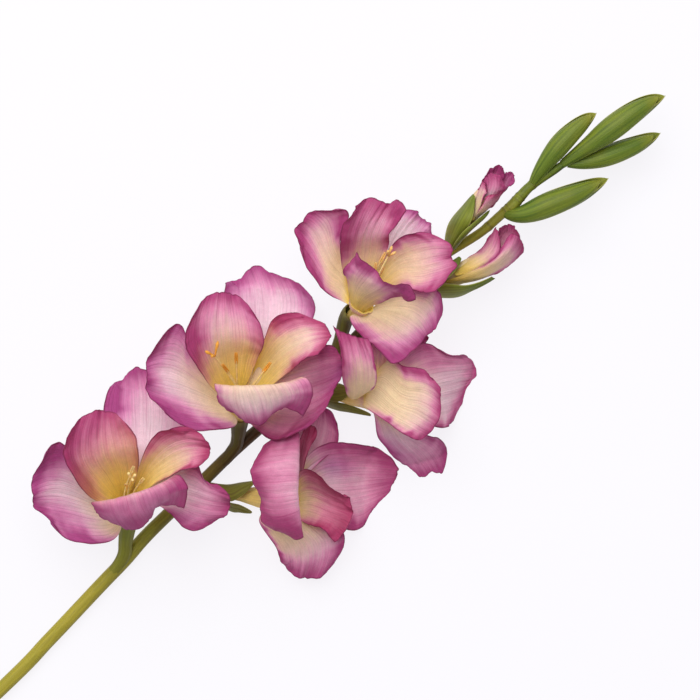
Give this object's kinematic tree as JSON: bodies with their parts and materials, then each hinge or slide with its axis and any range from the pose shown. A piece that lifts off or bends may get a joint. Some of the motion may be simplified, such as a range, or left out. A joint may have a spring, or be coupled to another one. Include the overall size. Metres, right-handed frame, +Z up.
{
  "type": "cut gladiolus spike",
  "caption": "Cut gladiolus spike lying on its side: waved pink and cream blooms, opening buds and closed green buds held by bracts along a bare round stem.",
  "frame": {"origin": "bottom centre of the bounding box, on the surface that the spike lies on", "axes": "+X along the stem from its cut end towards the tip, +Y to the left when looking from the cut end to the tip, +Z up"},
  "size_m": [0.6994, 0.1454, 0.0762],
  "materials": {
    "tepals": "soft matte",
    "bud_tepals": "soft matte",
    "stem": "waxy satin",
    "bud_bracts": "waxy satin",
    "stamens": "matte"
  },
  "bodies": {
    "root": {"stem": "stem", "bloom_1": "tepals", "bloom_2": "tepals", "bloom_3": "tepals", "bloom_4": "tepals", "bloom_5": "tepals", "stamens_1": "stamens", "stamens_2": "stamens", "stamens_3": "stamens", "stamens_4": "stamens", "stamens_5": "stamens", "opening_bud_1": "bud_tepals", "opening_bud_2": "bud_tepals", "green_bud_1": "bud_bracts", "green_bud_2": "bud_bracts", "green_bud_3": "bud_bracts", "green_bud_4": "bud_bracts"}
  },
  "joints": []
}
